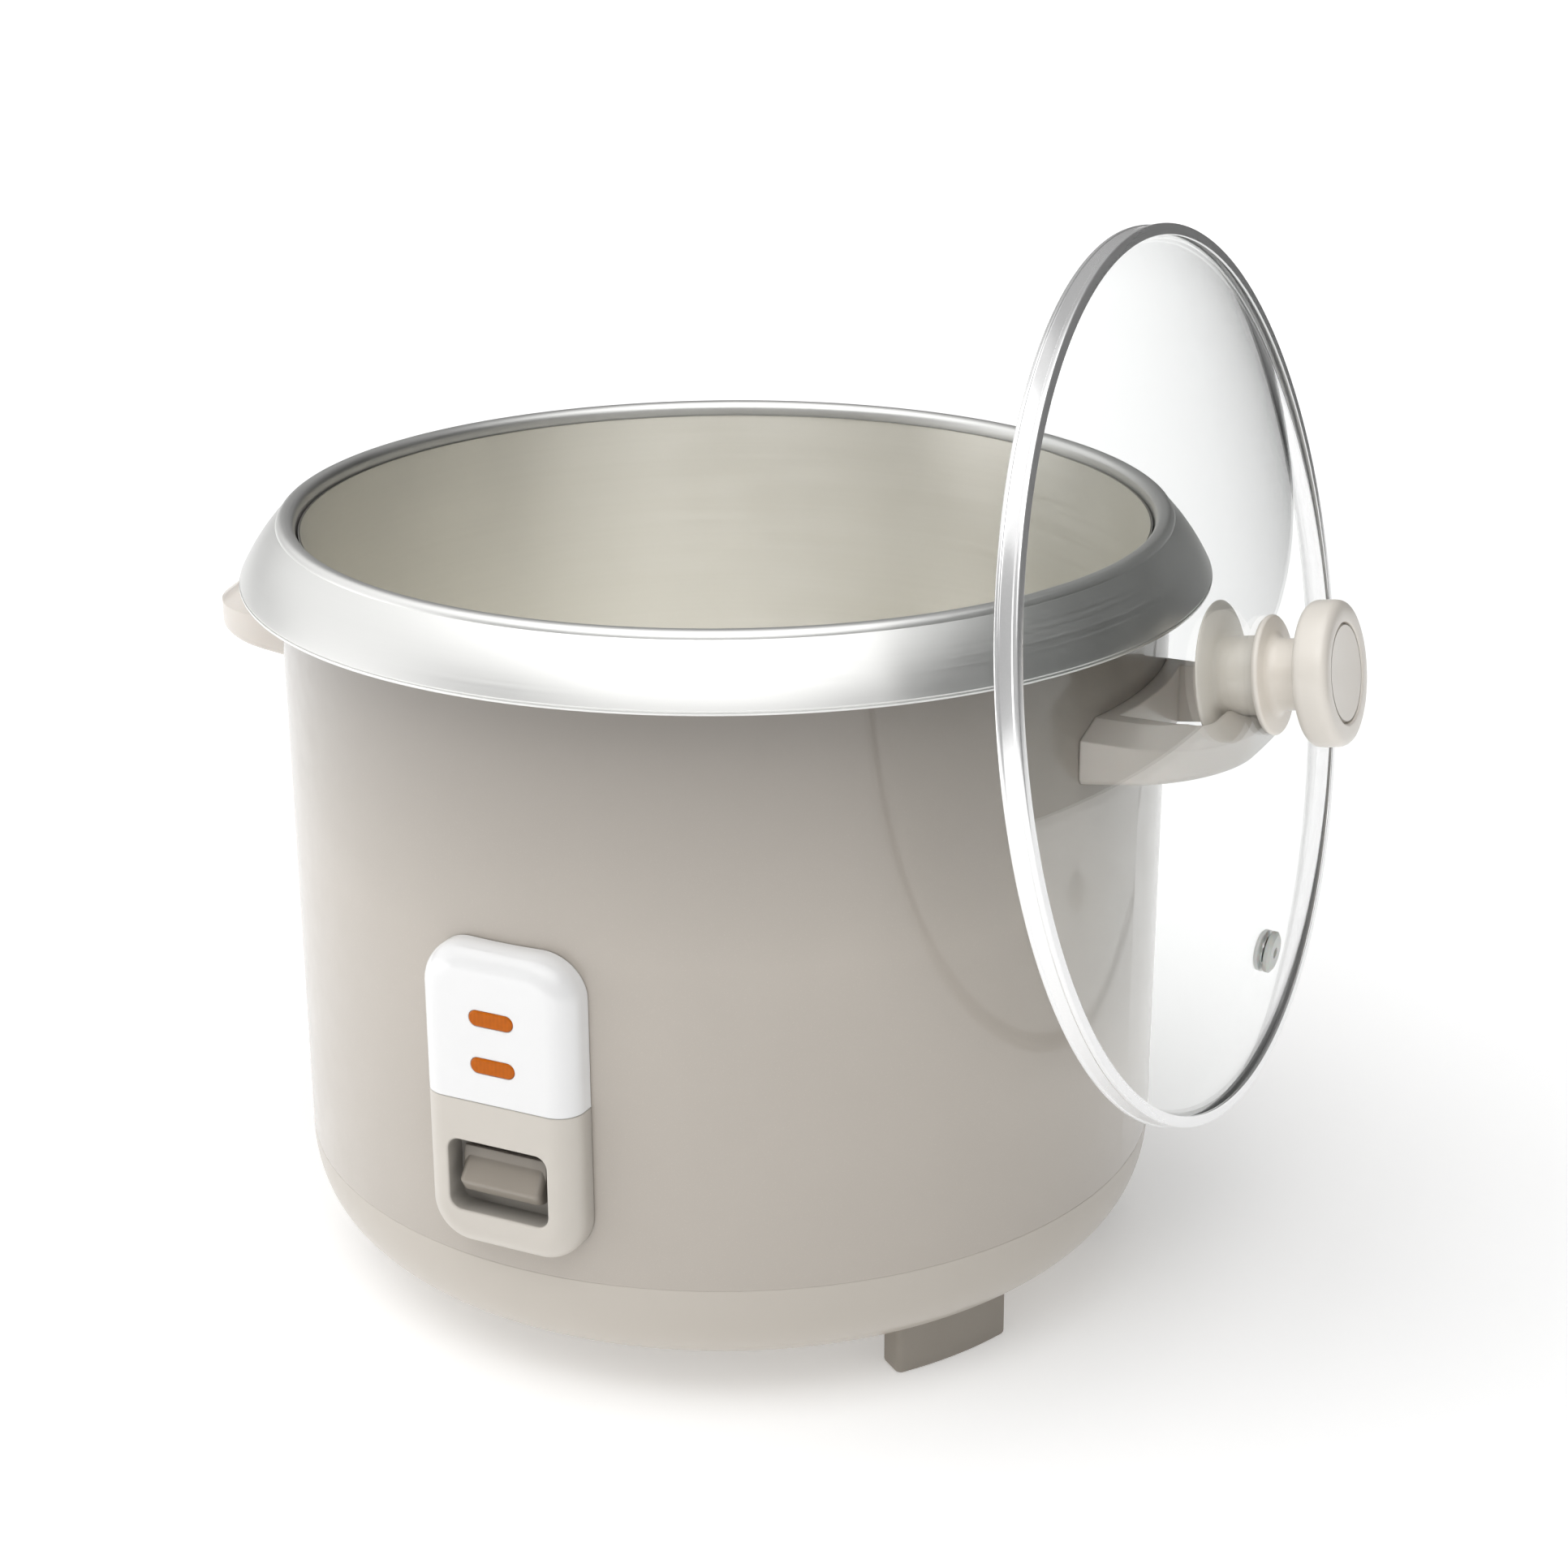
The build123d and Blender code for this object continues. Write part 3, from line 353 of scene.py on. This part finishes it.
def lathe(name, section, origin=Vector((0, 0, 0)), across=Vector((1, 0, 0)), along=Vector((0, 0, 1)),
          turns=TURNS):
    """A closed section of (radius, height) points in mm, turned about an axis."""
    side = along.cross(across)
    grid = bmesh.new()
    rows = []
    for radius, height in section:
        middle = origin + along * height * MM
        if radius < 1e-4:
            rows.append([grid.verts.new(middle)] * turns)
            continue
        row = []
        for step in range(turns):
            angle = 2 * pi * step / turns
            row.append(grid.verts.new(middle + (across * cos(angle) + side * sin(angle)) * radius * MM))
        rows.append(row)
    for lower, upper in zip(rows, rows[1:] + rows[:1]):
        for step in range(turns):
            after = (step + 1) % turns
            corners = [lower[step], lower[after], upper[after], upper[step]]
            distinct = list(dict.fromkeys(corners))
            if len(distinct) > 2:
                grid.faces.new(distinct)
    bmesh.ops.recalc_face_normals(grid, faces=grid.faces)
    return new_object(name, grid)


def block(name, low, high):
    """A plain block between two corners given in mm."""
    grid = bmesh.new()
    plan = ((low[0], low[1]), (high[0], low[1]), (high[0], high[1]), (low[0], high[1]))
    rows = [[grid.verts.new((x * MM, y * MM, z * MM)) for x, y in plan] for z in (low[2], high[2])]
    grid.faces.new(rows[0][::-1])
    grid.faces.new(rows[1])
    for step in range(4):
        after = (step + 1) % 4
        grid.faces.new([rows[0][step], rows[0][after], rows[1][after], rows[1][step]])
    return new_object(name, grid)


def lid_lathe(name, section, turns=TURNS):
    return lathe(name, section, LID_CENTRE, LID_UP, LID_OUT, turns)


def curve(start, pull, end, steps):
    """Points on a curve that leaves start towards pull and reaches end from it."""
    points = []
    for step in range(steps + 1):
        t = step / steps
        near, middle, far = (1 - t) ** 2, 2 * t * (1 - t), t * t
        points.append((near * start[0] + middle * pull[0] + far * end[0],
                       near * start[1] + middle * pull[1] + far * end[1]))
    return points


def soften(corners):
    """A closed section with each corner, (radius, height, rounding), rounded off."""
    points = []
    for index, (radius, height, rounding) in enumerate(corners):
        if not rounding:
            points.append((radius, height))
            continue
        corner = Vector((radius, height))
        legs = []
        for other in (corners[index - 1], corners[(index + 1) % len(corners)]):
            leg = Vector(other[:2]) - corner
            legs.append(corner + leg.normalized() * min(rounding, leg.length * 0.49))
        points += curve(legs[0], corner, legs[1], 5)
    return points


def dome(radius, depth=0.0):
    """Height of the glass above the plane of the band's edge, depth below its outside."""
    sag = GLASS_APEX - GLASS_EDGE
    ball = (GLASS_CHORD**2 + sag**2) / (2 * sag)
    return GLASS_APEX - ball + sqrt((ball - depth) ** 2 - radius**2)


# ---- camera -------------------------------------------------------------------------
def place_camera():
    """The view from the front right and above, through a long lens."""
    azimuth, pitch, roll = radians(CAMERA_AZIMUTH), radians(CAMERA_PITCH), radians(CAMERA_ROLL)
    ahead = Vector((-sin(azimuth) * cos(pitch), cos(azimuth) * cos(pitch), -sin(pitch)))
    level = Vector((cos(azimuth), sin(azimuth), 0))
    down = ahead.cross(level)
    right = level * cos(roll) - down * sin(roll)
    below = level * sin(roll) + down * cos(roll)
    lens_data = bpy.data.cameras.new("camera")
    lens_data.lens = CAMERA_LENS
    lens_data.sensor_width = 36
    lens_data.clip_end = 50
    camera = bpy.data.objects.new("camera", lens_data)
    turn = Matrix((right, -below, -ahead)).transposed().to_4x4()
    camera.matrix_world = Matrix.Translation(CAMERA_PLACE) @ turn
    bpy.context.scene.collection.objects.link(camera)
    bpy.context.scene.camera = camera


place_camera()

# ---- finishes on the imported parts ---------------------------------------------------
for name, node in frame["nodes"].items():
    material = thumb_plastic if name == "switch_lever" else FINISH[slot_of[name]]
    node.data.materials.clear()
    node.data.materials.append(material)


# ---- turned pieces, remade with rolled and rounded edges ------------------------------
def make_ring():
    """Flared top ring: rolled lower lip, bowed skirt, bead at the top and a short throat."""
    lip = soften([(140.9, 215.0, 0.0), (142.5, 215.0, 0.7), (142.5, 216.1, 0.4)])
    skirt = curve((142.3, 216.5), (138.0, 225.2), (131.3, 231.9), 24)
    bead = arc((128.55, 231.2), 2.8, 14, 166, 20)
    throat = [(125.62, 230.3), (125.62, 225.9), (133.6, 225.9)]
    piece = lathe("ring_rolled", lip + skirt + bead + throat)
    finish_mesh(piece, ring_metal, "cooker", ["top_ring"])


def make_pot():
    """Spun pot with a rounded foot and a plain rim."""
    outside = [(0, 62.2), *arc((92.5, 90.2), 28.0, -90, 0, 16)]
    rim = soften([(125.25, 229.8, 0.5), (124.05, 229.8, 0.5)])
    inside = [*arc((92.5, 90.2), 26.8, 0, -90, 16), (0, 63.4)]
    piece = lathe("pot_spun", outside + rim + inside)
    finish_mesh(piece, pot_metal, "pot", ["inner_pot"])


def make_lid_band():
    """Channel of bright metal folded round the glass's edge, with a shallow groove outside."""
    section = soften([
        (121.6, 0.0, 0.2), (125.1, 0.0, 0.5), (125.1, 1.1, 0.2), (124.75, 1.4, 0.2), (124.75, 4.8, 0.2),
        (125.1, 5.1, 0.2), (125.1, 6.5, 0.6), (121.8, 6.6, 0.3), (121.8, 5.9, 0.2), (123.9, 5.6, 0.2),
        (123.9, 0.7, 0.2), (121.6, 0.7, 0.2),
    ])
    piece = lid_lathe("lid_band", section)
    finish_mesh(piece, bright_metal, "lid", ["lid_rim"])


def make_knob():
    """The turned pieces on the lid's axis: stem, cap and disc outside, hanging boss inside."""
    sections = {
        "knob_stem": soften([
            (0, 27.9, 0), (16.2, dome(16.2) + 0.03, 0), (16.8, 28.6, 0.4), (16.4, 29.5, 0.5),
            (11.5, 29.7, 1.0), (10.0, 31.2, 1.4), (9.8, 39.8, 0), (0, 39.8, 0),
        ]),
        "knob_cap": soften([
            (0, 39.8, 0), (20.2, 39.8, 2.8), (20.2, 49.6, 3.2), (13.9, 49.6, 0.7), (13.8, 48.0, 0),
            (0, 48.0, 0),
        ]),
        "knob_disc": [
            (0, 48.0), (13.55, 48.0), *soften([(13.55, 49.3, 0.4), (13.0, 49.3, 0.3)]),
            (7, 49.0), (0, 48.9),
        ],
        "hanging_boss": soften([
            (0, dome(0, GLASS_WALL) - 0.02, 0), (11.0, dome(11, GLASS_WALL) - 0.02, 0),
            (11.0, 13.0, 1.2), (20.4, 12.8, 0.5), (21.3, 12.2, 0.4), (20.7, 11.6, 0.4), (5.0, 11.6, 0.3),
            (5.0, 14.6, 0), (0, 14.6, 0),
        ]),
    }
    for node, section in sections.items():
        piece = lid_lathe(TURNED_NAMES[node], section, KNOB_TURNS)
        finish_mesh(piece, knob_plastic, "lid", [node])


def base_side(inset):
    """One side of the base's bowl, from its top edge round to the flat floor."""
    foot, floor = 130.7 - inset, 8.4 + inset
    pulls = ((foot, 43.2), (foot, floor + 4.5), (105.0 - inset, floor), (70.0, floor))
    points = []
    for step in range(33):
        t = step / 32
        shares = ((1 - t) ** 3, 3 * t * (1 - t) ** 2, 3 * t * t * (1 - t), t**3)
        pairs = list(zip(shares, pulls))
        points.append((sum(share * pull[0] for share, pull in pairs),
                       sum(share * pull[1] for share, pull in pairs)))
    return points


def make_base():
    """Rounded base moulding, with the inlet's seat cut out and the switch's post inside."""
    spigot = [(128.3, 49.2), (129.6, 49.2), (129.6, 43.2)]
    section = base_side(0) + [(40, 8.4), (40, 10.9)] + base_side(2.5)[::-1] + spigot
    piece = lathe("base_turned", section)
    cutter = block("inlet_cutter", (-16.1, 95, 21.9), (16.1, 145, 42.1))
    cut = piece.modifiers.new("seat", "BOOLEAN")
    cut.operation = "DIFFERENCE"
    cut.object = cutter
    shaped = bpy.data.meshes.new_from_object(piece.evaluated_get(bpy.context.evaluated_depsgraph_get()))
    piece.modifiers.clear()
    piece.data = shaped
    bpy.data.objects.remove(cutter)
    finish_mesh(piece, base_plastic, "cooker", ["base_tray"])
    post = block("switch_post", (-11, -104, 12.8), (11, -94, 26.4))
    finish_mesh(post, base_plastic, "cooker")


make_ring()
make_pot()
make_lid_band()
make_knob()
make_base()


# ---- floor, light -------------------------------------------------------------------
def lamp(name, place, aim, size, power):
    """A rectangular softbox at a place, turned towards an aim."""
    data = bpy.data.lights.new(name, "AREA")
    data.shape = "RECTANGLE"
    data.size, data.size_y = size
    data.energy = power
    light = bpy.data.objects.new(name, data)
    light.location = place
    light.rotation_euler = (Vector(aim) - Vector(place)).to_track_quat("-Z", "Y").to_euler()
    bpy.context.scene.collection.objects.link(light)


def overhead_sky():
    """A very wide, weak sun: the studio's bright ceiling."""
    data = bpy.data.lights.new("overhead_sky", "SUN")
    data.energy = 0.5
    data.angle = radians(70)
    light = bpy.data.objects.new("overhead_sky", data)
    light.rotation_euler = (radians(6), radians(-8), 0)
    bpy.context.scene.collection.objects.link(light)


def studio_world():
    world = bpy.data.worlds.new("studio")
    world.use_nodes = True
    world.node_tree.nodes["Background"].inputs["Color"].default_value = (1, 1, 1, 1)
    world.node_tree.nodes["Background"].inputs["Strength"].default_value = 0.25
    bpy.context.scene.world = world


def make_floor():
    """Pale floor that glows more with distance, so that it fades to white round the cooker."""
    grid = bmesh.new()
    bmesh.ops.create_circle(grid, cap_ends=True, segments=96, radius=12)
    floor = new_object("studio_floor", grid)
    tree = Tree("studio_floor")
    place = tree.place()
    tree.join(tree.mix(tree.noise(place, 3, 2), (0.86, 0.86, 0.86, 1), (0.9, 0.9, 0.9, 1)), "Base Color")
    tree.bsdf.inputs["Roughness"].default_value = 0.9
    tree.bsdf.inputs["Specular IOR Level"].default_value = 0.1
    tree.bsdf.inputs["Emission Color"].default_value = (1, 1, 1, 1)
    distance = tree.add("ShaderNodeVectorMath", {0: place}, operation="LENGTH").outputs["Value"]
    tree.join(tree.spread(distance, 0.3, 0.75, 0.15, 1.6), "Emission Strength")
    floor.data.materials.append(tree.material)


def make_flag(name, corners):
    """A dark studio card, unseen by the camera, that keeps one side of the metal dark. It fades out."""
    grid = bmesh.new()
    grid.faces.new([grid.verts.new(corner) for corner in corners])
    flag = new_object(name, grid)
    tree = Tree(name)
    place = tree.add("ShaderNodeTexCoord").outputs["Generated"]
    parts = tree.add("ShaderNodeSeparateXYZ", {"Vector": place}).outputs
    aside = tree.math("ABSOLUTE", tree.math("SUBTRACT", parts[0], 0.5))
    upper = tree.math("MULTIPLY", parts[2], 0.5)
    fade = tree.spread(tree.math("MAXIMUM", aside, upper), 0.0, 1.0, 0.22, 0.5)
    cloud = tree.math("MULTIPLY", tree.noise(place, 5), 0.04)
    dark = tree.add("ShaderNodeEmission", {"Color": (1, 1, 1, 1), "Strength": cloud}).outputs[0]
    clear = tree.add("ShaderNodeBsdfTransparent").outputs[0]
    both = tree.add("ShaderNodeMixShader", {0: fade, 1: dark, 2: clear}).outputs[0]
    tree.tree.links.new(both, tree.tree.nodes["Material Output"].inputs["Surface"])
    flag.data.materials.append(tree.material)
    flag.visible_camera = False


make_floor()
make_flag("flag_back_right", [(2.2, -0.9, 0.02), (-0.6, 2.5, 0.02), (-0.6, 2.5, 2.2), (2.2, -0.9, 2.2)])
studio_world()
lamp("top_softbox", (0.2, -0.6, 2.0), (0, -0.1, 0.1), (2.9, 2.1), 22.5)
lamp("left_softbox", (-1.45, -0.85, 0.24), (0, 0, 0.12), (1.6, 0.45), 4.2)
lamp("left_fill", (-1.6, -0.25, 1.2), (0, 0, 0.15), (2.6, 1.5), 10)
lamp("front_softbox", (0.5, -1.2, 1.5), (0, 0.05, 0.2), (1.6, 1.1), 5.5)
overhead_sky()
bpy.context.scene.view_settings.view_transform = "Standard"
